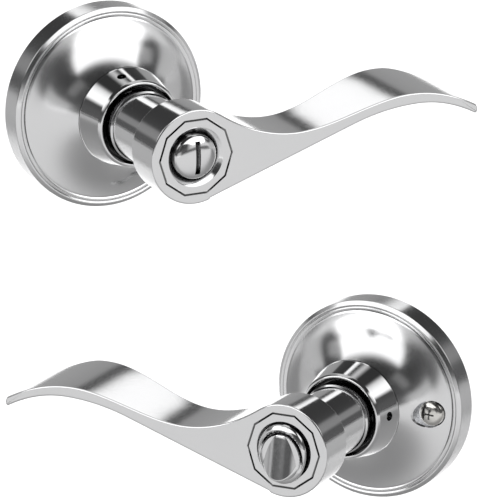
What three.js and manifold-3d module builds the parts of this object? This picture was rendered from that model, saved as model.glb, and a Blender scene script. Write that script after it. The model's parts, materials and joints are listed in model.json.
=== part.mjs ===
// A privacy door lever set, taken off its door: the outside handle, with a slotted emergency release
// button, and the inside handle, with a thumb-turn. Millimetres, +Z up. The origin is on the outside
// spindle axis in the plane of the door face; that handle faces -Y and its lever points along +X.
// Each handle is built in a local frame of its own: u runs along the lever, z is up, and depth is the
// distance out from the door face, along local -Y.
import * as THREE from "three";
import { mergeVertices } from "three/addons/utils/BufferGeometryUtils.js";
import Module from "manifold-3d";

const wasm = await Module();
wasm.setup();

// ---- driving dimensions ----
const INSIDE_PLACE = [105.4, 7.2, -114.7]; // the inside handle's spindle axis, at its door face
const INSIDE_TURN = THREE.MathUtils.degToRad(-53.35); // the angle that it stands turned about Z

const GAP = 0.3; // clearance between pieces that touch
const ROSE_RADIUS = 33;
const ROSE_WALL = 1;
const BEAD_RADIUS = 31.7; // crest of the bead round the rose's edge
const BEAD_DEPTH = 8.95;
const DISH_RADIUS = 30.1; // where the trumpet-shaped dish starts
const DISH_DEPTH = 8.5;
const DISH_RISE = 10.95;
const DISH_FLARE = 1.7; // how late the dish curves up
const COLLAR_RADIUS = 16;
const COLLAR_SEAM = 19.5;
const LIP_RADIUS = 14.3;
const LIP_DEPTH = 29.2;
const COLLAR_TOP = 30.3;
const COLLAR_BORE = 13.1;
const NECK_START = 9.6;
const PLATE_RADIUS = 31.6;
const PLATE_THICKNESS = 2.5;
const FIXINGS = [[-23.3, -1], [22.7, -6.5]]; // u and z of the two screws; the hub hides the second
const SCREW_HOLE = 4.6;
const SCREW_HEAD = 4.1;
const SCREW_SEAT = 8.2; // depth of the spacer that a screw head bears on
const NECK_RADIUS = 11.2;
const NECK_RING_RADIUS = 11.69;
const NECK_RING_DEPTH = 32.9;
const LEVER_BORE = 8.6;
const HUB_BACK = 54.9;
const HUB_BACK_RADIUS = 15.17;
const HUB_RADIUS = 15.5;
const FACE_DEPTH = 70.25;
const FACE_BEVEL = 0.4;
const LEVER_REACH = 100.4; // spindle axis to the tip
const LEVER_TROUGH = 36.5; // u of the lowest point of the wave's top edge
const LEVER_CREST = 76.5; // u of its highest point
const TROUGH_HEIGHT = 3.3;
const CREST_HEIGHT = 10.6;
const CAP_SIDES = 10;
const CAP_RADIUS = 12.81; // to the corners of the decagon
const CAP_THICKNESS = 3.45;
const RECESS_RADIUS = 9.73;
const BUTTON_HOLE = 7.65;
const BUTTON_RADIUS = 7.3;
const BUTTON_CROWN = 72.2;
const SLEEVE_RADIUS = 8.3;
const SLEEVE_BORE = 6.3;
const SOCKET_WIDTH = 8.6; // square hole that takes the spindle
const SPINDLE_WIDTH = 8;
const SPINDLE_END = -42;
const ROD_WIDTH = 3;
const ROD_END = -17;
const POST_END = -11;
const SCREW_END = -11;
const PIN_DEPTH = 24.2; // how far out the release hole in the collar is
const PIN_HOLE = 1.5;
const CATCH_RADIUS = 1.8;
const CATCH_TIP = 10.9;
const TAB_INNER = 14.3; // the return cam's tab and the slot it moves in
const TAB_OUTER = 17.2;
const TURN_LIMIT = THREE.MathUtils.degToRad(50);

const LOOKS = {
  chrome: { color: 0xdcdde0, roughness: 0.07, metalness: 1 },
  zincSteel: { color: 0xb9bcc0, roughness: 0.35, metalness: 1 },
  springSteel: { color: 0x6f7276, roughness: 0.4, metalness: 1 },
  brass: { color: 0xc9a45c, roughness: 0.3, metalness: 1 },
  blackNylon: { color: 0x101011, roughness: 0.6, metalness: 0 },
};

// ---- helpers ----

// One closed, outward-facing geometry with shared vertices, whatever handedness it was made with.
function closed(geometry) {
  const bare = new THREE.BufferGeometry();
  bare.setAttribute("position", geometry.getAttribute("position").clone());
  if (geometry.index) bare.setIndex(geometry.index.clone());
  const merged = mergeVertices(bare, 1e-4);
  const place = merged.getAttribute("position");
  const corners = [0, 1, 2].map(() => new THREE.Vector3());
  const kept = [];
  let volume = 0;
  for (let i = 0; i < merged.index.count; i += 3) {
    const [a, b, c] = [0, 1, 2].map((k) => merged.index.getX(i + k));
    if (a === b || b === c || c === a) continue;
    [a, b, c].forEach((v, k) => corners[k].fromBufferAttribute(place, v));
    volume += corners[0].dot(corners[1].clone().cross(corners[2]));
    kept.push([a, b, c]);
  }
  merged.setIndex(kept.flatMap(([a, b, c]) => (volume < 0 ? [a, c, b] : [a, b, c])));
  return merged;
}

function solid(geometry) {
  const g = closed(geometry);
  const mesh = new wasm.Mesh({
    numProp: 3,
    vertProperties: new Float32Array(g.getAttribute("position").array),
    triVerts: new Uint32Array(g.index.array),
  });
  return new wasm.Manifold(mesh);
}

function geometryOf(body) {
  const mesh = body.getMesh();
  const g = new THREE.BufferGeometry();
  g.setAttribute("position", new THREE.BufferAttribute(new Float32Array(mesh.vertProperties), 3));
  g.setIndex(Array.from(mesh.triVerts));
  return g;
}

// The first geometry with every further one cut out of it.
function cut(geometry, ...tools) {
  return geometryOf(tools.reduce((body, tool) => body.subtract(solid(tool)), solid(geometry)));
}

function joined(...geometries) {
  return geometryOf(geometries.map(solid).reduce((body, more) => body.add(more)));
}

// A piece turned about the spindle axis, from a closed outline of [radius, depth] points.
function turned(outline, sides = 36) {
  const points = [...outline, outline[0]].map(([r, depth]) => new THREE.Vector2(r, -depth));
  return new THREE.LatheGeometry(points, sides);
}

// A plain cylinder about an axis parallel to the spindle.
function rod(radius, from, to, u = 0, z = 0, sides = 24) {
  return turned([[0, from], [radius, from], [radius, to], [0, to]], sides).translate(u, 0, z);
}

function ring(inner, outer, from, to, sides = 36) {
  return turned([[inner, from], [outer, from], [outer, to], [inner, to]], sides);
}

// An outline in u and z, drawn out between two depths.
function prism(points, from, to) {
  const shape = new THREE.Shape(points.map(([u, z]) => new THREE.Vector2(u, z)));
  const g = new THREE.ExtrudeGeometry(shape, { depth: to - from, bevelEnabled: false });
  return g.translate(0, 0, from).rotateX(Math.PI / 2);
}

function square(width, from, to) {
  const h = width / 2;
  return prism([[-h, -h], [h, -h], [h, h], [-h, h]], from, to);
}

function box(u0, u1, z0, z1, from, to) {
  return prism([[u0, z0], [u1, z0], [u1, z1], [u0, z1]], from, to);
}

// Points on an arc in u and z; the angle runs from +z towards +u.
function arc(radius, from, to, steps) {
  return Array.from({ length: steps + 1 }, (_, i) => {
    const angle = from + ((to - from) * i) / steps;
    return [radius * Math.sin(angle), radius * Math.cos(angle)];
  });
}

// A cylinder that points straight out from the spindle axis at an angle from +z towards +u.
function spoke(radius, from, to, angle, depth, sides = 12) {
  const g = new THREE.CylinderGeometry(radius, radius, to - from, sides);
  return g.translate(0, (from + to) / 2, 0).rotateX(Math.PI / 2).rotateY(angle).translate(0, -depth, 0);
}

// ---- outlines ----

function dishDepth(r) {
  const inward = Math.max(0, DISH_RADIUS - r) / (DISH_RADIUS - COLLAR_RADIUS);
  return DISH_DEPTH + DISH_RISE * inward ** DISH_FLARE;
}

// Top edge of the lever: falls off the hub, dips, swells to the crest and drops to the tip.
function topEdge(u) {
  if (u < LEVER_TROUGH) return TROUGH_HEIGHT + 0.0124 * (LEVER_TROUGH - u) ** 2;
  if (u > LEVER_CREST) return CREST_HEIGHT - 0.0122 * (u - LEVER_CREST) ** 2;
  const t = (u - LEVER_TROUGH) / (LEVER_CREST - LEVER_TROUGH);
  return THREE.MathUtils.lerp(TROUGH_HEIGHT, CREST_HEIGHT, t * t * (3 - 2 * t));
}

// Bottom edge: a straight taper up from the hub, then a low arch along under the crest.
function bottomEdge(u) {
  const archStart = 56;
  const archTop = 79;
  if (u < archStart) return 3.09 - 0.34 * (archStart - u);
  return 7 - (u < archTop ? 0.0074 : 0.0138) * (u - archTop) ** 2;
}

function stations(from, to, count) {
  return Array.from({ length: count + 1 }, (_, i) => from + ((to - from) * i) / count);
}

// The lever seen from the front: both edges, joined by a rounded tip.
function leverFront() {
  const tipHeight = 2.4;
  const bottom = stations(4.9, LEVER_REACH - 1.6, 22).map((u) => [u, bottomEdge(u)]);
  const top = stations(LEVER_REACH - 1.8, 8.5, 26).map((u) => [u, topEdge(u)]);
  const tip = [
    [LEVER_REACH - 0.4, tipHeight - 0.8],
    [LEVER_REACH, tipHeight],
    [LEVER_REACH - 0.5, tipHeight + 1],
  ];
  return [...bottom, ...tip, ...top];
}

// The lever seen from above, as [u, depth]: it widens away from the hub and ends in a round nose.
function leverPlan() {
  const noseStart = 82;
  const noseDepth = 38;
  const back = new THREE.SplineCurve(
    [[4, 55], [12, 53.2], [23, 49.8], [35, 48.7], [48, 46.4], [60, 43], [72, 39.8], [noseStart, noseDepth]].map(
      ([u, depth]) => new THREE.Vector2(u, depth),
    ),
  );
  const nose = stations(0, Math.PI / 2, 24).map((a) => [
    noseStart + (LEVER_REACH - noseStart) * Math.sin(a),
    FACE_DEPTH - (FACE_DEPTH - noseDepth) * Math.cos(a),
  ]);
  return [...back.getPoints(24).map((p) => [p.x, p.y]), ...nose.slice(1), [4, FACE_DEPTH]];
}

function decagon(radius, from, to) {
  const corner = Math.PI / 2; // one corner points along the lever
  return prism(arc(radius, corner, corner + 2 * Math.PI, CAP_SIDES).slice(0, CAP_SIDES), from, to);
}

// ---- pieces ----

function roseCover(screwHoles) {
  const outer = [
    [ROSE_RADIUS, 0],
    [ROSE_RADIUS, 7.9],
    [BEAD_RADIUS + 0.6, 8.7],
    [BEAD_RADIUS, BEAD_DEPTH],
    [BEAD_RADIUS - 0.8, 8.5],
  ];
  const holeRadius = COLLAR_RADIUS + GAP;
  const slope = stations(DISH_RADIUS, holeRadius, 6).map((r) => [r, dishDepth(r)]);
  const under = stations(holeRadius, DISH_RADIUS, 3).map((r) => [r, dishDepth(r) - 1.6 * ROSE_WALL]);
  const inner = [
    [ROSE_RADIUS - ROSE_WALL, 6.9],
    [ROSE_RADIUS - ROSE_WALL, 0],
  ];
  const shell = turned([...outer, ...slope, ...under, ...inner], 48);
  if (!screwHoles) return shell;
  return cut(shell, ...FIXINGS.map(([u, z]) => rod(SCREW_HOLE, 4, 22, u, z)));
}

function collar(pinAngle) {
  const start = NECK_START + 0.6;
  const sleeve = turned([
    [COLLAR_BORE, start],
    [COLLAR_RADIUS, start],
    [COLLAR_RADIUS, COLLAR_SEAM],
    [LIP_RADIUS, LIP_DEPTH - 0.3],
    [LIP_RADIUS - 0.2, LIP_DEPTH + 0.6],
    [LIP_RADIUS - 0.6, COLLAR_TOP],
    [COLLAR_BORE + 0.2, COLLAR_TOP - 0.1],
    [COLLAR_BORE, COLLAR_TOP - 0.5],
  ]);
  return cut(sleeve, spoke(PIN_HOLE, COLLAR_BORE - 1, COLLAR_RADIUS + 1, pinAngle, PIN_DEPTH));
}

// The plate that the screws pull against the door, with the slot that the cam's tab swings in.
function mountingPlate(isOutside) {
  const slotEnd = TURN_LIMIT + 0.25;
  const slot = prism(
    [...arc(TAB_INNER - 0.5, -slotEnd, slotEnd, 16), ...arc(TAB_OUTER + 0.5, slotEnd, -slotEnd, 16)],
    -1,
    PLATE_THICKNESS + 1,
  );
  const disc = ring(SLEEVE_RADIUS + 0.4, PLATE_RADIUS, 0, PLATE_THICKNESS, 48);
  const lug = box(-2.2, 2.2, TAB_OUTER + 0.7, TAB_OUTER + 3.2, PLATE_THICKNESS - 0.5, 9);
  if (isOutside) {
    return cut(joined(disc, lug), slot, ...FIXINGS.map(([u, z]) => rod(3.3, -1, 4, u, z)));
  }
  const bosses = FIXINGS.map(([u, z]) => rod(5.5, PLATE_THICKNESS - 0.5, 6.2, u, z));
  const spacers = FIXINGS.map(([u, z]) => rod(3.5, 6, SCREW_SEAT, u, z));
  const holes = FIXINGS.map(([u, z]) => rod(2.4, -1, SCREW_SEAT + 1, u, z));
  return cut(joined(disc, lug, ...bosses, ...spacers), slot, ...holes);
}

function bearingBush(pinAngle) {
  const sleeve = ring(NECK_RING_RADIUS + GAP, COLLAR_BORE - GAP, NECK_START + 0.8, 27);
  return cut(sleeve, spoke(PIN_HOLE + 0.8, 10, 14, pinAngle, PIN_DEPTH));
}

// A torsion spring of round wire: a coil round the sleeve with a straight leg either side of the tab.
function returnSpring() {
  const wire = 0.9;
  const coilRadius = 11.3;
  const legSide = 4.1;
  const legEnd = 19.6;
  const legBend = 14;
  const front = 8.2;
  const back = PLATE_THICKNESS + wire + 0.5;
  const start = Math.asin(legSide / coilRadius) + 0.35;
  const sweep = 4 * Math.PI - 2 * start;
  const coil = stations(0, 1, 30).map((t) => {
    const angle = start + sweep * t;
    const depth = THREE.MathUtils.lerp(back, front, t);
    return new THREE.Vector3(coilRadius * Math.sin(angle), -depth, coilRadius * Math.cos(angle));
  });
  const leg = (side, depth) =>
    [legEnd, legBend].map((z) => new THREE.Vector3(side * legSide, -depth, z));
  const path = new THREE.CatmullRomCurve3(
    [...leg(1, back), ...coil, ...leg(-1, front).reverse()],
    false,
    "centripetal",
  );
  const section = new THREE.Shape(
    arc(wire, 0, 2 * Math.PI, 6).slice(0, 6).map(([x, y]) => new THREE.Vector2(x, y)),
  );
  return new THREE.ExtrudeGeometry(section, { steps: 56, extrudePath: path });
}

// The cam turns with the sleeve behind the plate; its tab reaches forward between the spring's legs.
function returnCam() {
  const disc = ring(SLEEVE_RADIUS + GAP, 13, -3.2, -1);
  const arm = box(-2.4, 2.4, 11, TAB_OUTER, -3.2, -1);
  const tab = box(-2.4, 2.4, TAB_INNER, TAB_OUTER, -2, 8.6);
  return joined(disc, arm, tab);
}

function circlip() {
  const opening = 0.4;
  const inner = SLEEVE_RADIUS - 0.4;
  const outer = arc(10.4, Math.PI + opening, 3 * Math.PI - opening, 20);
  return prism([...outer, ...arc(inner, 3 * Math.PI - opening, Math.PI + opening, 20)], -4.9, -3.9);
}

// The sleeve that the lever slides on: a square socket at the door end, open to the front.
function spindleSleeve(catchAngle) {
  const back = -6;
  const tube = turned([
    [0, back],
    [SLEEVE_RADIUS, back],
    [SLEEVE_RADIUS, -5.2],
    [SLEEVE_RADIUS - 0.7, -5.2],
    [SLEEVE_RADIUS - 0.7, -3.6],
    [SLEEVE_RADIUS, -3.6],
    [SLEEVE_RADIUS, 33.5],
    [0, 33.5],
  ]);
  const socket = square(SOCKET_WIDTH, back - 1, 11);
  const bore = rod(SLEEVE_BORE, 10, 35);
  return cut(tube, socket, bore, spoke(CATCH_RADIUS + GAP, 4, 10, catchAngle, PIN_DEPTH));
}

function lever(catchAngle) {
  const hub = turned(
    [
      [0, NECK_START],
      [NECK_RING_RADIUS, NECK_START],
      [NECK_RING_RADIUS, NECK_RING_DEPTH],
      [NECK_RADIUS, NECK_RING_DEPTH + 0.5],
      [NECK_RADIUS, HUB_BACK],
      [HUB_BACK_RADIUS - 0.3, HUB_BACK],
      [HUB_BACK_RADIUS, HUB_BACK + 0.3],
      [HUB_RADIUS, FACE_DEPTH - FACE_BEVEL],
      [HUB_RADIUS - FACE_BEVEL, FACE_DEPTH],
      [0, FACE_DEPTH],
    ],
    48,
  );
  const plan = new THREE.Shape(leverPlan().map(([u, depth]) => new THREE.Vector2(u, -depth)));
  const above = new THREE.ExtrudeGeometry(plan, { depth: 60, bevelEnabled: false }).translate(0, 0, -30);
  const blade = solid(prism(leverFront(), 30, 80)).intersect(solid(above));
  const body = geometryOf(solid(hub).add(blade));
  const pocketFloor = FACE_DEPTH - CAP_THICKNESS - GAP;
  return cut(
    body,
    rod(LEVER_BORE, NECK_START - 1, FACE_DEPTH - 1, 0, 0, 32),
    decagon(CAP_RADIUS + GAP / 2, pocketFloor, FACE_DEPTH + 1),
    spoke(CATCH_RADIUS + 0.4, 7, 14, catchAngle, PIN_DEPTH),
  );
}

function hubCap() {
  const back = FACE_DEPTH - CAP_THICKNESS;
  const plate = decagon(CAP_RADIUS - GAP / 2, back, FACE_DEPTH);
  const recess = turned(
    [
      [0, back - 1],
      [BUTTON_HOLE, back - 1],
      [BUTTON_HOLE, FACE_DEPTH - 1.9],
      [RECESS_RADIUS, FACE_DEPTH],
      [RECESS_RADIUS, FACE_DEPTH + 1],
      [0, FACE_DEPTH + 1],
    ],
    36,
  );
  return cut(plate, recess);
}

function leverCatch(angle) {
  return joined(
    spoke(CATCH_RADIUS, 5.2, CATCH_TIP, angle, PIN_DEPTH),
    spoke(CATCH_RADIUS + 0.7, 4.9, 5.5, angle, PIN_DEPTH),
  );
}

// A spring strip bent to a C inside the sleeve; its two ends press the catch outwards.
function catchSpring(angle) {
  const half = 0.2;
  const radius = 5.75;
  const mouth = 0.75;
  const outline = [
    ...arc(radius + half, mouth, 2 * Math.PI - mouth, 18),
    ...arc(radius - half, 2 * Math.PI - mouth, mouth, 18),
  ];
  return prism(outline, PIN_DEPTH - 2.2, PIN_DEPTH + 2.2).rotateY(angle);
}

const TURN_SHAFT_END = 29; // where the button's and thumb-turn's shaft ends, inside the sleeve

// Flange, stem and shaft shared by the release button and the thumb-turn, as a [radius, depth] outline.
function turnStem(neckDepth) {
  return [
    [0, TURN_SHAFT_END],
    [3.1, TURN_SHAFT_END],
    [3.1, 64.2],
    [8.1, 64.2],
    [8.1, 66.2],
    [BUTTON_RADIUS, 66.2],
    [BUTTON_RADIUS, neckDepth],
  ];
}

const rodSocket = () => square(ROD_WIDTH + 2 * GAP, TURN_SHAFT_END - 1, 46);

function releaseButton() {
  const edge = 70;
  const dome = stations(0, 1, 4).map((t) => [
    BUTTON_RADIUS * Math.cos((t * Math.PI) / 2),
    edge + (BUTTON_CROWN - edge) * Math.sin((t * Math.PI) / 2),
  ]);
  dome[dome.length - 1][0] = 0;
  const body = turned([...turnStem(edge), ...dome.slice(1)]);
  const slot = box(-0.9, 0.9, -5.4, 5.4, 70.6, 74);
  return cut(body, slot, rodSocket());
}

// The thumb-turn: a round base under an upright oval grip.
function thumbTurn() {
  const base = 71.2;
  const gripBase = 70.9;
  const gripTop = 76;
  const body = turned([...turnStem(68), [9, base], [8.6, base + 1], [0, base + 1]]);
  const oval = stations(0, 2 * Math.PI, 36)
    .slice(0, 36)
    .map((a) => [8.2 * Math.cos(a), 10.6 * Math.sin(a)]);
  const grip = prism(oval, gripBase, gripTop);
  return cut(joined(body, grip), rodSocket());
}

function turnRod() {
  return square(ROD_WIDTH, ROD_END, 45);
}

function spindle() {
  const head = rod(6, 11.3, 12.8);
  const bar = square(SPINDLE_WIDTH, SPINDLE_END, 12);
  return cut(joined(head, bar), rod(2.5, SPINDLE_END - 1, 14, 0, 0, 20));
}

// A threaded post riveted to the plate: it reaches through the door and takes a screw at its end.
function threadedPost(u, z) {
  const headFrom = PLATE_THICKNESS + GAP;
  const post = joined(rod(4.6, headFrom, headFrom + 1.4, u, z), rod(3, POST_END, headFrom + 1, u, z));
  return cut(post, rod(1.75, POST_END - 1, POST_END + 22, u, z, 16));
}

function mountingScrew(u, z) {
  const headFrom = SCREW_SEAT + GAP;
  const headTop = headFrom + 2.6;
  const head = turned(
    [
      [0, headFrom],
      [SCREW_HEAD, headFrom],
      [SCREW_HEAD, headTop - 1.2],
      [SCREW_HEAD - 0.8, headTop - 0.4],
      [SCREW_HEAD - 2.2, headTop],
      [0, headTop],
    ],
    24,
  ).translate(u, 0, z);
  const drive = [
    box(u - 2.1, u + 2.1, z - 0.45, z + 0.45, headTop - 1.5, headTop + 1),
    box(u - 0.45, u + 0.45, z - 2.1, z + 2.1, headTop - 1.5, headTop + 1),
  ];
  return cut(joined(head, rod(2, SCREW_END, headFrom + 0.5, u, z, 16)), ...drive);
}

// ---- the two handles ----

function handle(side, hand, pinAngle) {
  const group = new THREE.Group();
  const add = (name, geometry, look) => {
    const mesh = new THREE.Mesh(
      closed(geometry.scale(hand, 1, 1)),
      new THREE.MeshStandardMaterial({ ...LOOKS[look], flatShading: true }),
    );
    mesh.name = `${side}_${name}`;
    group.add(mesh);
  };
  const isOutside = side === "outside";
  add("rose_cover", roseCover(!isOutside), "chrome");
  add("collar", collar(pinAngle), "chrome");
  add("mounting_plate", mountingPlate(isOutside), "zincSteel");
  add("bearing_bush", bearingBush(pinAngle), "blackNylon");
  add("return_spring", returnSpring(), "springSteel");
  add("return_cam", returnCam(), "zincSteel");
  add("circlip", circlip(), "springSteel");
  add("spindle_sleeve", spindleSleeve(pinAngle), "zincSteel");
  add("lever", lever(pinAngle), "chrome");
  add("hub_cap", hubCap(), "chrome");
  add("lever_catch", leverCatch(pinAngle), "brass");
  add("catch_spring", catchSpring(pinAngle), "springSteel");
  if (isOutside) {
    add("release_button", releaseButton(), "chrome");
    add("release_rod", turnRod(), "zincSteel");
    add("spindle", spindle(), "zincSteel");
    add("post_left", threadedPost(...FIXINGS[0]), "zincSteel");
    add("post_right", threadedPost(...FIXINGS[1]), "zincSteel");
  } else {
    add("thumb_turn", thumbTurn(), "chrome");
    add("turn_rod", turnRod(), "zincSteel");
    add("screw_near_pinhole", mountingScrew(...FIXINGS[0]), "zincSteel");
    add("screw_under_lever", mountingScrew(...FIXINGS[1]), "zincSteel");
  }
  return group;
}

const group = new THREE.Group();

const OUTSIDE_PIN_ANGLE = THREE.MathUtils.degToRad(-13); // release hole near the top of the collar
const INSIDE_PIN_ANGLE = THREE.MathUtils.degToRad(-87); // release hole on the side away from the lever

const outside = handle("outside", 1, OUTSIDE_PIN_ANGLE);
const inside = handle("inside", -1, INSIDE_PIN_ANGLE);
inside.position.set(...INSIDE_PLACE);
inside.rotation.z = INSIDE_TURN;
group.add(outside, inside);

export default group;
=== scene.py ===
"""Looks of a privacy door lever set: both handles in polished chrome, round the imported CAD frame.

Metres in the row frame. Each handle is built in its own local frame, in millimetres: u runs along
the lever, depth runs out from the door face along the spindle axis, and z is up.
"""

import json
import math

import bmesh
import bpy
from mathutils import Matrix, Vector


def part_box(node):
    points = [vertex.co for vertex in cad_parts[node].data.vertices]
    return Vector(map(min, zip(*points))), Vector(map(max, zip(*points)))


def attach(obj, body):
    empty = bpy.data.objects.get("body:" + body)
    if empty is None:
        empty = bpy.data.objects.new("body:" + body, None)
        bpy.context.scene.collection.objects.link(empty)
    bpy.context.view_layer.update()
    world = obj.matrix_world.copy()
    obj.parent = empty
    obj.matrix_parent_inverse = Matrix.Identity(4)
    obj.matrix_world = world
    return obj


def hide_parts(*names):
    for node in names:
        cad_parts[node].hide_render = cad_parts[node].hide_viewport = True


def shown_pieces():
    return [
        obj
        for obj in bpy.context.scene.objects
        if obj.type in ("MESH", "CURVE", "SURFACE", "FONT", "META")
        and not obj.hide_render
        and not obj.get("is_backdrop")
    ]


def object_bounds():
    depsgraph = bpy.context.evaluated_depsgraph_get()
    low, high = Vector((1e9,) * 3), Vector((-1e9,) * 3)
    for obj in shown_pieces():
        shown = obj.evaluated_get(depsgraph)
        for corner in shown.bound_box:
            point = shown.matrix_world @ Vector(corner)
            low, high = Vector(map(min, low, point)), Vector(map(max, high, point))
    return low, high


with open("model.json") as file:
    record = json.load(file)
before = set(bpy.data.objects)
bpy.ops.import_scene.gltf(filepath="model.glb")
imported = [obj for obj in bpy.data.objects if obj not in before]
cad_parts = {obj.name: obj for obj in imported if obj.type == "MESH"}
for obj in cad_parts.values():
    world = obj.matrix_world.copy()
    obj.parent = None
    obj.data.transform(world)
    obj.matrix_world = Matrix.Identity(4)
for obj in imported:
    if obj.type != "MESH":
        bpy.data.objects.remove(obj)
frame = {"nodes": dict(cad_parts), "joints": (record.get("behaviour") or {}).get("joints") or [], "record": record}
cad_low, cad_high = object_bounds()

MM = 0.001
UP = Vector((0, 0, 1))
JOINTS = {j["name"]: j for j in frame["joints"]}

# ---- the two local frames, from the lever joints ----


def middle(node):
    low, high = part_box(node)
    return (low + high) / 2


class Handle:
    """Local frame of one handle: point(u, depth, z) in mm gives a place in the row frame."""

    def __init__(self, side, hand):
        joint = JOINTS[f"{side}_lever_turn"]
        axis = Vector(joint["axis"]).normalized()
        self.side = side
        self.origin = Vector(joint["pos_m"])
        towards_lever = (middle(f"{side}_lever") - self.origin).dot(axis)
        self.out = axis if towards_lever > 0 else -axis
        self.along = UP.cross(self.out) * hand

    def point(self, u, depth, z):
        return self.origin + (self.along * u + self.out * depth + UP * z) * MM

    def name(self, part):
        return f"{self.side}_{part}"


OUTSIDE = Handle("outside", 1)
INSIDE = Handle("inside", -1)
HANDLES = (OUTSIDE, INSIDE)

# ---- sizes in mm; the outer ones are read off the frame ----

low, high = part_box("outside_rose_cover")
ROSE_RADIUS = (high.z - low.z) / 2 / MM
low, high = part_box("outside_lever")
FACE = (OUTSIDE.origin.y - low.y) / MM
REACH = (high.x - OUTSIDE.origin.x) / MM
low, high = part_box("outside_release_button")
CROWN = (OUTSIDE.origin.y - low.y) / MM
low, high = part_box("outside_collar")
LIP_TOP = (OUTSIDE.origin.y - low.y) / MM

HUB_RADIUS = 15.5
HUB_BACK = 54.9
NECK_RADIUS = 11.2
LEVER_BORE = 8.6
CAP_RADIUS = 12.81
CAP_THICKNESS = 3.45
RECESS_RADIUS = 9.73
BUTTON_HOLE = 7.65
BUTTON_RADIUS = 7.3
FIXINGS = ((-23.3, -1.0), (22.7, -6.5))
PIN_DEPTH = 24.2
PIN_ANGLES = {"outside": math.radians(-13), "inside": math.radians(-87)}
SHARP_ANGLE = math.radians(32)  # edges that bend more than this stay sharp

# ---- mesh helpers ----


def finish_piece(bm, handle, name, body, material, nodes):
    """Turns a bmesh in local mm into a named piece in the row frame that rides on its body."""
    for v in bm.verts:
        v.co = handle.point(*v.co)
    bmesh.ops.remove_doubles(bm, verts=bm.verts, dist=1e-7)
    bmesh.ops.dissolve_degenerate(bm, edges=bm.edges, dist=1e-7)
    bmesh.ops.recalc_face_normals(bm, faces=bm.faces)
    mesh = bpy.data.meshes.new(name)
    bm.to_mesh(mesh)
    bm.free()
    for face in mesh.polygons:
        face.use_smooth = True
    mesh.set_sharp_from_angle(angle=SHARP_ANGLE)
    piece = bpy.data.objects.new(name, mesh)
    bpy.context.scene.collection.objects.link(piece)
    weighted = piece.modifiers.new("even normals", "WEIGHTED_NORMAL")
    weighted.keep_sharp = True
    mesh.materials.append(material)
    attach(piece, body)
    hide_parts(*nodes)
    return piece


def rounded(corners, step=12):
    """A polyline with its corners rounded: corners are (x, y, radius), and radius 0 stays sharp."""
    out = []
    for i, (x, y, radius) in enumerate(corners):
        if radius == 0 or i in (0, len(corners) - 1):
            out.append((x, y))
            continue
        here = Vector((x, y))
        back = Vector(corners[i - 1][:2]) - here
        ahead = Vector(corners[i + 1][:2]) - here
        half = back.angle(ahead) / 2
        reach = min(radius / math.tan(half), 0.49 * min(back.length, ahead.length))
        size = reach * math.tan(half)
        bisector = (back.normalized() + ahead.normalized()).normalized()
        centre = here + bisector * (size / math.sin(half))
        start = here + back.normalized() * reach - centre
        sweep = start.angle_signed(here + ahead.normalized() * reach - centre)
        count = max(2, round(abs(math.degrees(sweep)) / step))
        for k in range(count + 1):
            turn = -sweep * k / count
            c, s = math.cos(turn), math.sin(turn)
            out.append((centre.x + start.x * c - start.y * s, centre.y + start.x * s + start.y * c))
    return out


def revolve(bm, outline, segments=160):
    """Turns a closed outline of (radius, depth) about the spindle axis."""
    rings = []
    for radius, depth in outline:
        if radius < 1e-6:
            rings.append([bm.verts.new((0, depth, 0))])
            continue
        ring = []
        for k in range(segments):
            a = 2 * math.pi * k / segments
            ring.append(bm.verts.new((radius * math.sin(a), depth, radius * math.cos(a))))
        rings.append(ring)
    for here, there in zip(rings, rings[1:] + rings[:1]):
        if len(here) == 1 and len(there) == 1:
            continue
        for k in range(segments):
            n = (k + 1) % segments
            if len(here) == 1:
                bm.faces.new((here[0], there[k], there[n]))
            elif len(there) == 1:
                bm.faces.new((here[k], there[0], here[n]))
            else:
                bm.faces.new((here[k], there[k], there[n], here[n]))
    return bm


def turned(outline, segments=160):
    return revolve(bmesh.new(), outline, segments)


def prism(points, start, end):
    """A closed prism: an outline of (u, z) points drawn out between two depths."""
    bm = bmesh.new()
    ends = [[bm.verts.new((u, depth, z)) for u, z in points] for depth in (start, end)]
    for ring in ends:
        bm.faces.new(ring)
    count = len(points)
    for k in range(count):
        n = (k + 1) % count
        bm.faces.new((ends[0][k], ends[1][k], ends[1][n], ends[0][n]))
    return bm


def disc(radius, u=0.0, z=0.0, count=64):
    steps = [2 * math.pi * k / count for k in range(count)]
    return [(u + radius * math.sin(a), z + radius * math.cos(a)) for a in steps]


def decagon(radius):
    steps = [math.pi / 2 + 2 * math.pi * k / 10 for k in range(10)]
    return [(radius * math.sin(a), radius * math.cos(a)) for a in steps]


def block(u0, u1, z0, z1):
    return [(u0, z0), (u1, z0), (u1, z1), (u0, z1)]


def spoke(radius, start, end, angle, depth, count=48):
    """A rod that points straight out from the axis; the angle runs from z towards u."""
    bm = bmesh.new()
    out = Vector((math.sin(angle), 0, math.cos(angle)))
    side = Vector((math.cos(angle), 0, -math.sin(angle)))
    along = Vector((0, 1, 0))
    rings = []
    for reach in (start, end):
        centre = out * reach + along * depth
        steps = [2 * math.pi * k / count for k in range(count)]
        spread = [side * math.cos(a) + along * math.sin(a) for a in steps]
        rings.append([bm.verts.new(centre + way * radius) for way in spread])
    for ring in rings:
        bm.faces.new(ring)
    for k in range(count):
        n = (k + 1) % count
        bm.faces.new((rings[0][k], rings[1][k], rings[1][n], rings[0][n]))
    return bm


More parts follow.
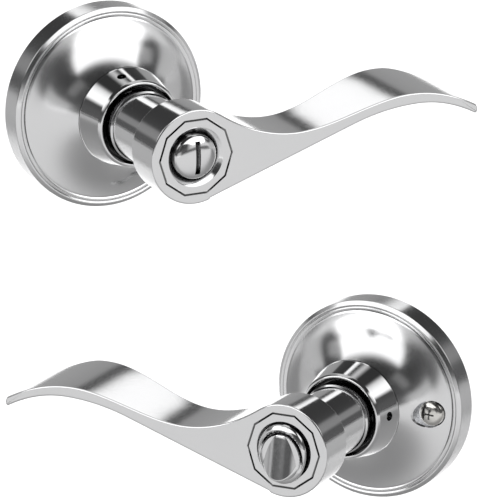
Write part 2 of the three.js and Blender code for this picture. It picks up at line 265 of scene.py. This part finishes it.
def combined(base, *tools, operation="DIFFERENCE"):
    """The base bmesh with every tool bmesh cut from it or joined to it, exactly."""

    def as_object(bm):
        bmesh.ops.remove_doubles(bm, verts=bm.verts, dist=1e-5)
        bmesh.ops.recalc_face_normals(bm, faces=bm.faces)
        mesh = bpy.data.meshes.new("tool")
        bm.to_mesh(mesh)
        bm.free()
        made = bpy.data.objects.new("tool", mesh)
        bpy.context.scene.collection.objects.link(made)
        return made

    body = as_object(base)
    others = [as_object(tool) for tool in tools]
    for other in others:
        step = body.modifiers.new("cut", "BOOLEAN")
        step.operation = operation
        step.solver = "EXACT"
        step.object = other
    graph = bpy.context.evaluated_depsgraph_get()
    result = bmesh.new()
    result.from_mesh(bpy.data.meshes.new_from_object(body.evaluated_get(graph)))
    for made in (body, *others):
        bpy.data.objects.remove(made)
    return result


# ---- outlines ----

DISH_RADIUS = 30.1
DISH_DEPTH = 8.5
DISH_CONE, DISH_SWEEP, DISH_POWER = 4.0, 6.95, 2.6  # rise of the dish: straight part, curved part
COLLAR_RADIUS = 16.0
DIP, DIP_HEIGHT, DIP_BEND = 36.5, 3.3, 0.0124  # the lever's top edge: where it is lowest
CREST, CREST_HEIGHT, CREST_BEND = 76.5, 10.6, 0.0122  # and where it is highest
TAPER_END, TAPER_HEIGHT, TAPER_SLOPE = 56, 3.09, 0.34  # its bottom edge: a straight taper up
ARCH, ARCH_HEIGHT = 79, 7  # and then a low arch
ARCH_RISE, ARCH_FALL = 0.0074, 0.0138


def dish_depth(radius):
    """Depth of the rose's dish: it rises from its rim to the collar, ever more steeply."""
    inward = max(0.0, DISH_RADIUS - radius) / (DISH_RADIUS - COLLAR_RADIUS)
    return DISH_DEPTH + DISH_CONE * inward + DISH_SWEEP * inward**DISH_POWER


def top_edge(u):
    if u < DIP:
        return DIP_HEIGHT + DIP_BEND * (DIP - u) ** 2
    if u > CREST:
        return CREST_HEIGHT - CREST_BEND * (u - CREST) ** 2
    t = (u - DIP) / (CREST - DIP)
    return DIP_HEIGHT + (CREST_HEIGHT - DIP_HEIGHT) * t * t * (3 - 2 * t)


def bottom_edge(u):
    if u < TAPER_END:
        return TAPER_HEIGHT - TAPER_SLOPE * (TAPER_END - u)
    return ARCH_HEIGHT - (ARCH_RISE if u < ARCH else ARCH_FALL) * (u - ARCH) ** 2


NOSE, NOSE_DEPTH = 82.0, 38.0  # where the lever's back starts to round off to the tip, and how deep
NOSE_POWER = 0.55  # 0.5 would be an ellipse; a little more keeps the nose inside the CAD box
# the lever's back seen from above: (u, depth)
PLAN = (
    (-20, HUB_BACK),
    (4, HUB_BACK),
    (12, 53.2),
    (23, 49.8),
    (35, 48.7),
    (48, 46.4),
    (60, 43),
    (72, 39.8),
    (NOSE, NOSE_DEPTH),
)
TIP_THICKNESS = 1.6
TIP_HEIGHT = 2.35
TIP_GAP = 0.1
TIP_ROUND = 1.0  # the last stretch of the lever, where its outline rounds off
HUB_BLEND = 4.8  # u up to which the outline is the hub's circle, above and below
TOP_BLEND = 8.5  # u up to which the top edge alone is
TAPER_START = 4.9  # the bottom edge's height is read no nearer the hub than this


def smooth_through(points, u):
    """A smooth curve through points, read at u; it starts level."""
    for i in range(len(points) - 1):
        if u <= points[i + 1][0] or i == len(points) - 2:
            break
    (x0, y0), (x1, y1) = points[i], points[i + 1]

    def slope(k):
        a, b = max(k - 1, 0), min(k + 1, len(points) - 1)
        return (points[b][1] - points[a][1]) / (points[b][0] - points[a][0])

    span = x1 - x0
    t = (u - x0) / span
    m0, m1 = slope(i) * span, slope(i + 1) * span
    if i == 0:
        m0 = m1 = 0.0
    if i == 1:
        m0 = 0.0
    return (
        (2 * t**3 - 3 * t**2 + 1) * y0
        + (t**3 - 2 * t**2 + t) * m0
        + (3 * t**2 - 2 * t**3) * y1
        + (t**3 - t**2) * m1
    )


def back_depth(u):
    """Depth of the lever's back along its length; it ends in a round nose."""
    if u <= NOSE:
        return smooth_through(PLAN, u)
    along = min(1.0, (u - NOSE) / (REACH - TIP_GAP - NOSE))
    return FACE - (FACE - NOSE_DEPTH) * (1 - along * along) ** NOSE_POWER


def outline_stations():
    """Matched top and bottom points of hub and lever from the front, from hub to tip."""
    stations = []
    hub_steps, lever_steps, tip_steps = 60, 120, 6
    hub_pace = 0.62  # share of the half turn that the hub's steps would cover, so they lie closer
    for k in range(1, hub_steps):
        u = -HUB_RADIUS * math.cos(math.pi * k / hub_steps * hub_pace)
        if u > HUB_BLEND:
            break
        half = math.sqrt(HUB_RADIUS**2 - u * u)
        stations.append((u, half, -half))
    last = REACH - TIP_ROUND
    start = stations[-1][0] + 0.5
    for k in range(lever_steps + 1):
        u = start + (last - start) * k / lever_steps
        top = math.sqrt(max(0, HUB_RADIUS**2 - u * u)) if u < TOP_BLEND else top_edge(u)
        stations.append((u, top, bottom_edge(max(u, TAPER_START))))
    half = (top_edge(last) - bottom_edge(last)) / 2
    middle_z = (top_edge(last) + bottom_edge(last)) / 2
    for k in range(1, tip_steps):
        a = math.pi / 2 * k / tip_steps
        u = last + (REACH - last) * math.sin(a)
        z = middle_z + (TIP_HEIGHT - middle_z) * math.sin(a)
        stations.append((u, z + half * math.cos(a), z - half * math.cos(a)))
    return (-HUB_RADIUS, 0.0), stations, (REACH, TIP_HEIGHT)


def lever_shell():
    """Hub and lever as one closed shell: flat face, rounded edges, ruled top, bottom and back."""
    left, stations, tip = outline_stations()
    top = [(u, t) for u, t, _ in stations]
    bottom = [(u, b) for u, _, b in stations]
    loop = [left, *top, tip, *reversed(bottom)]
    count = len(loop)
    normals = []
    for k in range(count):
        before, after = Vector(loop[k - 1]), Vector(loop[(k + 1) % count])
        tangent = (after - before).normalized()
        normals.append(Vector((-tangent.y, tangent.x)))
    bm = bmesh.new()
    front_round, steps = 0.5, 6
    rings = []

    def ring(inset_at, depth_at):
        made = []
        for (u, z), normal in zip(loop, normals):
            inset = inset_at(u)
            made.append(bm.verts.new((u - normal.x * inset, depth_at(u), z - normal.y * inset)))
        rings.append(made)

    def back_round(u):
        """Size of the back edge's rounding: small on the hub, larger along the blade."""
        blade = min(1.0, max(0.0, (u - 8) / 12))
        return min(0.45 + 0.75 * blade, (FACE - back_of(u)) / 3.2)

    def back_of(u):
        return min(back_depth(u), FACE - TIP_THICKNESS)

    def taper(u):
        """How much smaller the hub is at its back than at its face."""
        return 0.33 * min(1.0, max(0.0, (14 - u) / 14))

    for k in range(steps + 1):
        a = math.pi / 2 * k / steps
        ring(
            lambda u, a=a: taper(u) + back_round(u) * (1 - math.sin(a)),
            lambda u, a=a: back_of(u) + back_round(u) * (1 - math.cos(a)),
        )
    for k in range(1, 4):
        t = k / 4
        ring(
            lambda u, t=t: taper(u) * (1 - t),
            lambda u, t=t: (back_of(u) + back_round(u)) * (1 - t) + (FACE - front_round) * t,
        )
    for k in range(steps + 1):
        a = math.pi / 2 * k / steps
        inset = front_round * (1 - math.cos(a))
        depth = FACE - front_round * (1 - math.sin(a))
        ring(lambda u, i=inset: i, lambda u, d=depth: d)
    ring(lambda u: front_round + 0.25, lambda u: FACE)
    for here, there in zip(rings, rings[1:]):
        for k in range(count):
            n = (k + 1) % count
            bm.faces.new((here[k], here[n], there[n], there[k]))
    bm.faces.new(rings[-1])
    back = rings[0]
    pairs = len(stations)
    bm.faces.new((back[0], back[1], back[-1]))
    for k in range(1, pairs):
        bm.faces.new((back[k], back[k + 1], back[-k - 1], back[-k]))
    bm.faces.new((back[pairs], back[pairs + 1], back[pairs + 2]))
    return bm


def lever_body(handle):
    neck = turned(
        rounded(
            [
                (0, 9.6, 0),
                (11.69, 9.6, 0.3),
                (11.69, 32.9, 0.12),
                (NECK_RADIUS, 33.5, 0.12),
                (NECK_RADIUS, HUB_BACK, 0.6),
                (NECK_RADIUS + 1.2, HUB_BACK + 0.02, 0),
                (NECK_RADIUS + 1.2, HUB_BACK + 4, 0),
                (0, HUB_BACK + 4, 0),
            ]
        )
    )
    whole = combined(lever_shell(), neck, operation="UNION")
    bore = prism(disc(LEVER_BORE, count=96), 5, FACE - 2)
    pocket = prism(decagon(CAP_RADIUS + 0.32), FACE - CAP_THICKNESS - 0.3, FACE + 1)
    catch_hole = spoke(2.2, 7, 14, PIN_ANGLES[handle.side], PIN_DEPTH)
    return combined(whole, bore, pocket, catch_hole)


def cap_body():
    """The ten-sided cap round the button, with a countersunk opening."""
    bm = prism(decagon(CAP_RADIUS - 0.4), FACE - CAP_THICKNESS, FACE)
    opening = turned(
        rounded(
            [
                (0, FACE - 6, 0),
                (BUTTON_HOLE, FACE - 6, 0),
                (BUTTON_HOLE, FACE - 1.9, 0.25),
                (RECESS_RADIUS - 0.12, FACE - 0.14, 0.1),
                (RECESS_RADIUS + 0.1, FACE + 0.02, 0),
                (RECESS_RADIUS + 0.4, FACE + 2, 0),
                (0, FACE + 2, 0),
            ]
        ),
        128,
    )
    return combined(bm, opening)


def rose_body(has_screws):
    wall, shift = 1.0, 1.5  # thickness of the rim, and of the dish along the axis
    rim = rounded(
        [
            (ROSE_RADIUS - wall, 0, 0),
            (ROSE_RADIUS, 0, 0.25),
            (ROSE_RADIUS, 7.75, 0.45),
            (31.75, 8.95, 0.5),
            (31.12, 8.5, 0.12),
            (30.75, 8.78, 0.25),
            (30.2, 8.62, 0.2),
            (DISH_RADIUS - 0.25, 8.48, 0),
        ]
    )
    inner = COLLAR_RADIUS + 0.22
    start = DISH_RADIUS - 0.25
    steps = 44
    slope = [start - (start - inner) * k / steps for k in range(1, steps + 1)]
    upper = [(r, dish_depth(r)) for r in slope]
    lower = [(r, dish_depth(r) - shift) for r in reversed(slope[::2])]
    under = [(DISH_RADIUS, DISH_DEPTH - shift), (ROSE_RADIUS - wall, DISH_DEPTH - shift)]
    shell = turned([*rim, *upper, *lower, *under], 224)
    if not has_screws:
        return shell
    return combined(shell, *[prism(disc(4.6, u, z), 3, 22) for u, z in FIXINGS])


def collar_body(handle):
    outline = rounded(
        [
            (13.1, 10.2, 0),
            (COLLAR_RADIUS, 10.2, 0.2),
            (COLLAR_RADIUS, 19.5, 0.3),
            (14.36, 29.0, 0.9),
            (13.75, LIP_TOP, 0.55),
            (13.1, LIP_TOP - 0.15, 0.3),
            (13.1, 27.0, 0),
        ]
    )
    return combined(turned(outline, 192), spoke(1.5, 12, 18, PIN_ANGLES[handle.side], PIN_DEPTH))


STEM = (
    (0, 29.0, 0),
    (3.1, 29.0, 0.2),
    (3.1, 64.2, 0),
    (8.1, 64.2, 0.2),
    (8.1, 66.2, 0.2),
    (BUTTON_RADIUS, 66.2, 0),
)


def button_body():
    """The domed release button, with its coin slot and the socket for its rod."""
    edge, lift, steps = 69.7, 0.3, 14
    crown = [(BUTTON_RADIUS, edge, 0.5)]
    dome = []
    for k in range(1, steps + 1):
        a = math.pi / 2 * k / steps
        radius = (BUTTON_RADIUS - 0.25) * math.cos(a) ** 0.9
        depth = edge + lift + (CROWN - edge - lift) * math.sin(a) ** 1.1
        dome.append((radius if k < steps else 0.0, depth))
    body = turned([*rounded([*STEM, *crown, (*dome[0], 0)]), *dome[1:]], 128)
    slot = prism(block(-0.85, 0.85, -5.4, 5.4), 69.4, 76)
    socket = prism(block(-1.8, 1.8, -1.8, 1.8), 28, 46)
    return combined(body, slot, socket)


def thumb_turn_body():
    base = [(BUTTON_RADIUS, 68.9, 0), (8.1, 70.9, 0.3), (7.8, 71.2, 0.1), (0, 71.3, 0)]
    return combined(turned(rounded([*STEM, *base]), 128), oval_grip(), operation="UNION")


GRIP_WIDE, GRIP_UP, GRIP_DOWN = 8.4, 9.1, 10.8  # how far the foot reaches sideways, up and down
GRIP_BASE = 70.8
FOOT_WALL = 0.3  # height of the foot's upright side
FOOT_ROUND, FOOT_RISE = 2.4, 1.5  # width and height of the rounding above it
GRIP_RIDGE = 73.9  # depth of the raised front along its upright middle line
GRIP_ROUND = 9.6  # radius of the raised front, a part of an upright cylinder
FRONT_WIDE, FRONT_TALL = 6.7, 7.6  # the raised front's half sizes
FRONT_DROP = 1.7  # how low the raised front sits
FRONT_LEAN = 0.2  # how fast it leans back upwards
FRONT_EDGE = 0.8  # width of the rounding at its edge
FRONT_SINK = 0.3  # how far that rounding may go below the foot
GROOVE, GROOVE_DEPTH = 1.1, 1.3  # width and depth of the groove round the front's upper side
GROOVE_FADE = 1.6  # how fast the groove gets shallow towards the front's lower side
GROOVE_SKEW = 0.35  # how much further down it reaches on one side


def grip_depth(u, z):
    """Depth of the thumb-turn: a rounded foot, a groove and a raised front that leans back."""
    share = min(1.0, math.hypot(u / GRIP_WIDE, z / (GRIP_UP if z > 0 else GRIP_DOWN)))
    inward = min(1.0, (1 - share) * GRIP_WIDE / FOOT_ROUND)
    foot = GRIP_BASE + FOOT_WALL + FOOT_RISE * math.sqrt(1 - (1 - inward) ** 2)
    from_middle = math.hypot(u / FRONT_WIDE, (z + FRONT_DROP) / FRONT_TALL)
    outside = (from_middle - 1) * FRONT_WIDE
    if outside > GROOVE:
        return foot
    if outside > 0:
        skew = GROOVE_SKEW * (abs(u) - u)
        upper = max(0.0, (z + FRONT_DROP + skew) / FRONT_TALL / from_middle)
        depth = GROOVE_DEPTH * min(1.0, upper * GROOVE_FADE)
        return foot - depth * math.sin(math.pi * outside / GROOVE)
    across = min(abs(u), FRONT_WIDE)
    front = GRIP_RIDGE - GRIP_ROUND + math.sqrt(GRIP_ROUND**2 - across**2) - FRONT_LEAN * z
    edge = min(1.0, -outside / FRONT_EDGE)
    rounding = math.sqrt(1 - (1 - edge) ** 2)
    return max(foot - FRONT_SINK, foot + (front - foot) * rounding) if front > foot else foot


def oval_grip():
    """The thumb-turn: an upright oval foot with a raised, rounded front."""
    bm = bmesh.new()
    around, levels = 192, 72
    shares = [1 - k / levels for k in range(levels)]
    oval = []
    for j in range(around):
        a = 2 * math.pi * j / around
        tall = GRIP_UP if a < math.pi else GRIP_DOWN
        oval.append((GRIP_WIDE * math.cos(a), tall * math.sin(a)))
    rings = [[bm.verts.new((u, GRIP_BASE, z)) for u, z in oval]]
    for share in shares:
        ring = [(u * share, z * share) for u, z in oval]
        rings.append([bm.verts.new((u, grip_depth(u, z), z)) for u, z in ring])
    bm.faces.new(rings[0])
    for here, there in zip(rings, rings[1:]):
        for j in range(around):
            n = (j + 1) % around
            bm.faces.new((here[j], here[n], there[n], there[j]))
    centre = bm.verts.new((0, GRIP_RIDGE, 0))
    for j in range(around):
        bm.faces.new((rings[-1][j], rings[-1][(j + 1) % around], centre))
    return bm


def screw_body(u, z):
    """A pan-head screw with a cross recess; u and z are its place in the rose."""
    seat, crown = 8.5, 3.6
    head = turned(
        rounded(
            [
                (0, seat, 0),
                (4.1, seat, 0.15),
                (4.1, seat + 1.9, 0.6),
                (3.2, seat + 3.2, 1.6),
                (0.9, seat + crown, 0),
                (0, seat + crown, 0),
            ]
        ),
        96,
    )
    bmesh.ops.translate(head, verts=head.verts, vec=(u, 0, z))
    shank = prism(disc(2.0, u, z, 48), -11, seat + 0.5)
    recess, turn = seat + 2.1, math.radians(4)
    tools = []
    for angle in (turn, turn + math.pi / 2):
        c, s = math.cos(angle), math.sin(angle)
        bar = [(u + x * c - y * s, z + x * s + y * c) for x, y in block(-1.7, 1.7, -0.3, 0.3)]
        tools.append(prism(bar, recess, seat + 4))
    return combined(combined(head, shank, operation="UNION"), *tools)


# ---- materials ----


def new_material(name):
    material = bpy.data.materials.new(name)
    material.use_nodes = True
    nodes, links = material.node_tree.nodes, material.node_tree.links
    shader = nodes["Principled BSDF"]
    place = nodes.new("ShaderNodeTexCoord")
    return material, nodes, links, shader, place.outputs["Object"]


def noise(nodes, links, place, scale, detail=3.0):
    made = nodes.new("ShaderNodeTexNoise")
    made.inputs["Scale"].default_value = scale
    made.inputs["Detail"].default_value = detail
    links.new(place, made.inputs["Vector"])
    return made.outputs["Fac"]


def ramp(nodes, links, value, *limits):
    """The value carried between two ranges; limits are from low, from high, to low, to high."""
    made = nodes.new("ShaderNodeMapRange")
    for socket, number in zip(("From Min", "From Max", "To Min", "To Max"), limits):
        made.inputs[socket].default_value = number
    links.new(value, made.inputs["Value"])
    return made.outputs["Result"]


def bump(nodes, links, shader, height, distance, strength):
    made = nodes.new("ShaderNodeBump")
    made.inputs["Distance"].default_value = distance
    made.inputs["Strength"].default_value = strength
    links.new(height, made.inputs["Height"])
    links.new(made.outputs["Normal"], shader.inputs["Normal"])


def painted_gap_shade(nodes, links, colour, reach):
    """Colour darkened where another surface stands closer than the reach: painted shade in gaps."""
    openness = nodes.new("ShaderNodeAmbientOcclusion")
    openness.samples = 8
    openness.inputs["Distance"].default_value = reach
    darken = nodes.new("ShaderNodeMix")
    darken.data_type = "RGBA"
    # painted shade: the colour goes near black where the gaps close in
    darken.inputs["A"].default_value = (0.01, 0.01, 0.011, 1)
    links.new(colour, darken.inputs["B"])
    clear = ramp(nodes, links, openness.outputs["AO"], 0.35, 0.65, 0.0, 1.0)
    links.new(clear, darken.inputs["Factor"])
    return darken.outputs["Result"]


def metal(name, tints, gloss, grain, fine, depth, strength, crevice=0.0):
    """A metal whose colour and gloss drift, with a fine grain and painted shade in its gaps.

    tints are its dark and light colours, gloss its least and most roughness, grain and fine the
    scales of the drift and the grain, depth (metres) and strength the grain's bump, and crevice
    the width of the gaps (metres) that painted shade darkens.
    """
    material, nodes, links, shader, place = new_material(name)
    shader.inputs["Metallic"].default_value = 1.0
    cloud = noise(nodes, links, place, grain)
    scratch = noise(nodes, links, place, fine, 2.0)
    tint = nodes.new("ShaderNodeMix")
    tint.data_type = "RGBA"
    for socket, shade in zip("AB", tints):
        tint.inputs[socket].default_value = (*shade, 1)
    links.new(cloud, tint.inputs["Factor"])
    colour = tint.outputs["Result"]
    # painted shade: the colour is darkened in gaps narrower than the crevice reach
    if crevice:
        colour = painted_gap_shade(nodes, links, colour, crevice)
    links.new(colour, shader.inputs["Base Color"])
    rough = ramp(nodes, links, scratch, 0.3, 0.7, *gloss)
    links.new(rough, shader.inputs["Roughness"])
    bump(nodes, links, shader, scratch, depth, strength)
    return material


CHROME_TINTS = ((0.86, 0.862, 0.87), (0.9, 0.9, 0.905))
NICKEL_TINTS = ((0.8, 0.78, 0.74), (0.9, 0.89, 0.86))
ZINC_TINTS = ((0.5, 0.51, 0.54), (0.72, 0.73, 0.74))
SPRING_TINTS = ((0.2, 0.21, 0.22), (0.36, 0.36, 0.37))
BRASS_TINTS = ((0.6, 0.44, 0.2), (0.8, 0.63, 0.33))
# the last number, where given, is the reach (metres) of the painted shade in each finish's gaps
CHROME = metal("polished_chrome", CHROME_TINTS, (0.09, 0.12), 60, 900, 2e-6, 0.05, 0.0022)
SLEEVE = metal("sleeve_chrome", CHROME_TINTS, (0.07, 0.1), 60, 900, 2e-6, 0.05, 0.004)
SATIN = metal("buffed_chrome", CHROME_TINTS, (0.16, 0.19), 60, 900, 2e-6, 0.05, 0.003)
NICKEL = metal("nickel_plate", NICKEL_TINTS, (0.12, 0.2), 200, 1800, 8e-6, 0.1, 0.0015)
ZINC = metal("bright_zinc_steel", ZINC_TINTS, (0.22, 0.42), 140, 2500, 2e-5, 0.25, 0.006)
SPRING = metal("oiled_spring_steel", SPRING_TINTS, (0.25, 0.5), 300, 4000, 2e-5, 0.3)
BRASS = metal("turned_brass", BRASS_TINTS, (0.2, 0.38), 300, 3000, 2e-5, 0.25, 0.003)


def nylon():
    material, nodes, links, shader, place = new_material("black_nylon")
    grain = noise(nodes, links, place, 2200)
    shader.inputs["Base Color"].default_value = (0.018, 0.018, 0.02, 1)
    links.new(ramp(nodes, links, grain, 0.3, 0.7, 0.5, 0.7), shader.inputs["Roughness"])
    bump(nodes, links, shader, grain, 4e-5, 0.4)
    return material


NYLON = nylon()
BY_SLOT = {
    "zinc_steel": ZINC,
    "spring_steel": SPRING,
    "brass": BRASS,
    "black_nylon": NYLON,
    "chrome": CHROME,
}
FINISHES = {"rose": SATIN, "collar_sleeve": SLEEVE}  # every other chrome piece is CHROME

# ---- pieces ----

for handle in HANDLES:
    side = handle.side
    turning = f"{side}_turning"
    parts = (
        ("rose", rose_body(side == "inside"), "door_side", "rose_cover"),
        ("collar_sleeve", collar_body(handle), "door_side", "collar"),
        ("lever_and_hub", lever_body(handle), turning, "lever"),
        ("hub_cap_plate", cap_body(), turning, "hub_cap"),
    )
    for label, shape, body, node in parts:
        finish = FINISHES.get(label, CHROME)
        nodes = [handle.name(node)]
        finish_piece(shape, handle, handle.name(label), body, finish, nodes)

button, button_nodes = "outside_button", ["outside_release_button"]
finish_piece(button_body(), OUTSIDE, button, "outside_release", CHROME, button_nodes)
grip, grip_nodes = "inside_thumb_turn_grip", ["inside_thumb_turn"]
finish_piece(thumb_turn_body(), INSIDE, grip, "inside_turn", CHROME, grip_nodes)
for (u, z), screw in zip(FIXINGS, ("inside_screw_near_pinhole", "inside_screw_under_lever")):
    shape = screw_body(u, z)
    finish_piece(shape, INSIDE, f"{screw}_head", "door_side", NICKEL, [screw])

slots = {row["node"]: row["material_slot"] for row in frame["record"]["subparts"]}
for name, node in frame["nodes"].items():
    node.data.materials.clear()
    node.data.materials.append(BY_SLOT[slots[name]])

# Only these are seen in mirror reflections. The photo's dishes show almost none of the handle, so
# the rest is kept out; the gaps of collar and button need their neighbours to look dark.
REFLECTED = ("collar_sleeve", "bearing_bush", "outside_button", "thumb_turn_grip")
for shown in (*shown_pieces(), *frame["nodes"].values()):
    if not shown.name.endswith(REFLECTED):
        shown.visible_glossy = False

# ---- camera ----

AZIMUTH = math.radians(-26.676)
ELEVATION = math.radians(17.067)
DISTANCE = 6.5
LENS = 1465.0
SIGHT_RIGHT, SIGHT_DOWN = 0.04531, 0.04783  # middle of the picture, from the outside axis (metres)


def camera_frame():
    back = Vector(
        (
            math.sin(AZIMUTH) * math.cos(ELEVATION),
            -math.cos(AZIMUTH) * math.cos(ELEVATION),
            math.sin(ELEVATION),
        )
    )
    right = UP.cross(back).normalized()
    return right, back.cross(right), back


RIGHT, LIFT, BACK = camera_frame()
between = (OUTSIDE.origin + INSIDE.origin) / 2
sight = OUTSIDE.origin + RIGHT * SIGHT_RIGHT - LIFT * SIGHT_DOWN
camera = bpy.data.objects.new("camera", bpy.data.cameras.new("camera"))
bpy.context.scene.collection.objects.link(camera)
camera.data.lens = LENS
camera.data.clip_start = 0.5
camera.data.clip_end = 100
camera.location = sight + BACK * DISTANCE
camera.rotation_mode = "QUATERNION"
camera.rotation_quaternion = (-BACK).to_track_quat("-Z", "Y")
bpy.context.scene.camera = camera

# ---- floor ----

FLOOR_DROP = 0.45
FLOOR_HALF = 60.0
FLOOR_LEVEL = cad_low.z - FLOOR_DROP
floor_mesh = bpy.data.meshes.new("floor")
floor = bpy.data.objects.new("floor", floor_mesh)
bpy.context.scene.collection.objects.link(floor)
corners = [(-1, -1), (1, -1), (1, 1), (-1, 1)]
floor_points = [(x * FLOOR_HALF, y * FLOOR_HALF, FLOOR_LEVEL) for x, y in corners]
floor_mesh.from_pydata(floor_points, [], [(0, 1, 2, 3)])
material, nodes, links, shader, place = new_material("pale_floor")
shader.inputs["Base Color"].default_value = (0.9, 0.9, 0.9, 1)
shader.inputs["Roughness"].default_value = 0.9
shader.inputs["Specular IOR Level"].default_value = 0.0
floor_mesh.materials.append(material)
floor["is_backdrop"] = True

# ---- light: soft boxes placed by their turn from the view, and mirrored for the inside handle ----

AHEAD = Vector((-BACK.x, -BACK.y, 0)).normalized()
BOX_DISTANCE = 5.0


def receivers(name, members):
    made = bpy.data.collections.new(name)
    for member in members:
        made.objects.link(member)
    return made


LIT = {}
for handle in HANDLES:
    members = [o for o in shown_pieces() if o.name.startswith(handle.side)]
    LIT[handle.side] = receivers(f"{handle.side}_lit", members)
LIT["floor"] = receivers("floor_lit", [floor])


def lamp(name, place, facing, width, height, radiance, receiver, soft=None):
    """An area lamp of a set radiance that lights one collection; soft is the share that fades."""
    data = bpy.data.lights.new(name, "AREA")
    data.shape = "RECTANGLE"
    data.size, data.size_y = width, height
    data.energy = radiance * math.pi * width * height
    made = bpy.data.objects.new(name, data)
    bpy.context.scene.collection.objects.link(made)
    made.location = place
    made.rotation_mode = "QUATERNION"
    made.rotation_quaternion = facing.to_track_quat("-Z", "Y")
    made.visible_camera = False
    made.light_linking.receiver_collection = LIT[receiver]
    if soft:
        fade_edges(data, soft)
    return made


def fade_edges(data, soft):
    """Fades a lamp towards its edges, over a share of its width and of its height."""
    data.use_nodes = True
    nodes, links = data.node_tree.nodes, data.node_tree.links
    place = nodes.new("ShaderNodeNewGeometry").outputs["Parametric"]
    split = nodes.new("ShaderNodeSeparateXYZ")
    links.new(place, split.inputs[0])
    shares = []
    for axis, edge in zip("XY", soft):
        distance = nodes.new("ShaderNodeMath")
        distance.operation = "PINGPONG"
        distance.inputs[1].default_value = 0.5
        links.new(split.outputs[axis], distance.inputs[0])
        fade = nodes.new("ShaderNodeMapRange")
        fade.interpolation_type = "SMOOTHSTEP"
        fade.inputs["From Max"].default_value = max(edge, 1e-4)
        links.new(distance.outputs[0], fade.inputs["Value"])
        shares.append(fade.outputs["Result"])
    product = nodes.new("ShaderNodeMath")
    product.operation = "MULTIPLY"
    links.new(shares[0], product.inputs[0])
    links.new(shares[1], product.inputs[1])
    links.new(product.outputs[0], nodes["Emission"].inputs["Strength"])


def lay_flat(made, level):
    """Lays a lamp level, facing down, with its height along a level direction."""
    made.rotation_mode = "XYZ"
    made.rotation_euler = (0, 0, math.atan2(level.y, level.x) - math.pi / 2)


def direction(turn, rise):
    """A direction turned right of the view and raised above the horizon, in degrees."""
    a, e = math.radians(turn), math.radians(rise)
    right = AHEAD.cross(UP)
    return (AHEAD * math.cos(a) + right * math.sin(a)) * math.cos(e) + UP * math.sin(e)


# name, middle turn, middle rise, half width, half height (degrees), radiance, fading edges
SOFT_BOXES = (
    ("side_box", -87, 35, 27, 16, 1.15, (0.25, 0.25)),
    ("side_low", -56, 15, 18, 7, 0.17, (0.3, 0.3)),
    ("narrow_box", -140, 32, 10, 18, 0.16, (0.4, 0.3)),
    ("back_box", -9, 33.5, 8.5, 9.5, 1.1, (0.12, 0.12)),
    ("back_upper", 2, 62, 22, 18, 0.55, (0.2, 0.15)),
    ("back_right", 24, 32, 9, 20, 0.5, (0.3, 0.2)),
    ("right_mid", 66, 34, 18, 16, 0.28, (0.3, 0.3)),
    ("back_low", 4, 9, 26, 13, 0.24, (0.3, 0.15)),
    ("right_low", 70, 6, 38, 12, 0.4, (0.2, 0.3)),
    ("front_low", -155, 2, 32, 10, 0.4, (0.3, 0.3)),
    ("key_low", 125, 19, 34, 17, 0.6, (0.3, 0.2)),
)
# the key lamp: a level sheet above one side
KEY_HEIGHT = 3.0
KEY_TURN = 125.0
KEY_AWAY, KEY_WIDE, KEY_LONG = 2.2, 2.35, 4.2  # distance and size, in times its height
KEY_RADIANCE, KEY_SOFT = 1.25, (0.12, 0.06)

for handle, hand in zip(HANDLES, (1, -1)):
    side = handle.side
    for name, turn, rise, wide, tall, radiance, soft in SOFT_BOXES:
        towards = direction(turn * hand, rise)
        size = [2 * BOX_DISTANCE * math.tan(math.radians(x)) for x in (wide, tall)]
        place = between + towards * BOX_DISTANCE
        lamp(f"{side}_{name}", place, -towards, *size, radiance, side, soft)
    level = direction(KEY_TURN * hand, 0)
    place = between + level * KEY_HEIGHT * KEY_AWAY + UP * KEY_HEIGHT
    size = (KEY_WIDE * KEY_HEIGHT, KEY_LONG * KEY_HEIGHT)
    key = lamp(f"{side}_key", place, -UP, *size, KEY_RADIANCE, side, KEY_SOFT)
    lay_flat(key, level)

sun_data = bpy.data.lights.new("floor_sun", "SUN")
sun_data.energy = 0.65
sun_data.angle = math.radians(40)
sun = bpy.data.objects.new("floor_sun", sun_data)
bpy.context.scene.collection.objects.link(sun)
sun.light_linking.receiver_collection = LIT["floor"]

WASH_HEIGHT = 0.25
# name, start and end ahead of the object, start and end to its right (metres), radiance
WASHES = (
    ("back_wash", 0.75, 12, -0.95, 0.95, 1.2),
    ("back_left_wash", 0.9, 12, -9, -1.1, 0.25),
    ("back_right_wash", 0.9, 12, 1.1, 9, 0.25),
    ("front_wash", -9, -0.4, -9, 9, 0.55),
)
for name, near, far, left, right_end, radiance in WASHES:
    centre = between + AHEAD * (near + far) / 2 + AHEAD.cross(UP) * (left + right_end) / 2
    centre.z = FLOOR_LEVEL + WASH_HEIGHT
    wash = lamp(name, centre, -UP, right_end - left, far - near, radiance, "floor")
    lay_flat(wash, AHEAD)

world = bpy.data.worlds.new("studio")
bpy.context.scene.world = world
world.use_nodes = True
nodes, links = world.node_tree.nodes, world.node_tree.links
split = nodes.new("ShaderNodeSeparateXYZ")
links.new(nodes.new("ShaderNodeTexCoord").outputs["Generated"], split.inputs[0])
rise = nodes.new("ShaderNodeValToRGB")
links.new(split.outputs["Z"], rise.inputs["Fac"])
# height in the sky from the horizon up, and how bright it is there
stops = ((0.0, 0.1), (0.17, 0.09), (0.27, 0.07), (0.45, 0.045), (0.62, 0.035), (1.0, 0.03))
while len(rise.color_ramp.elements) < len(stops):
    rise.color_ramp.elements.new(0.5)
for element, (at, level) in zip(rise.color_ramp.elements, stops):
    element.position = at
    element.color = (level, level, level * 1.01, 1)
links.new(rise.outputs["Color"], nodes["Background"].inputs["Color"])

bpy.context.scene.view_settings.view_transform = "Standard"

low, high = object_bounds()
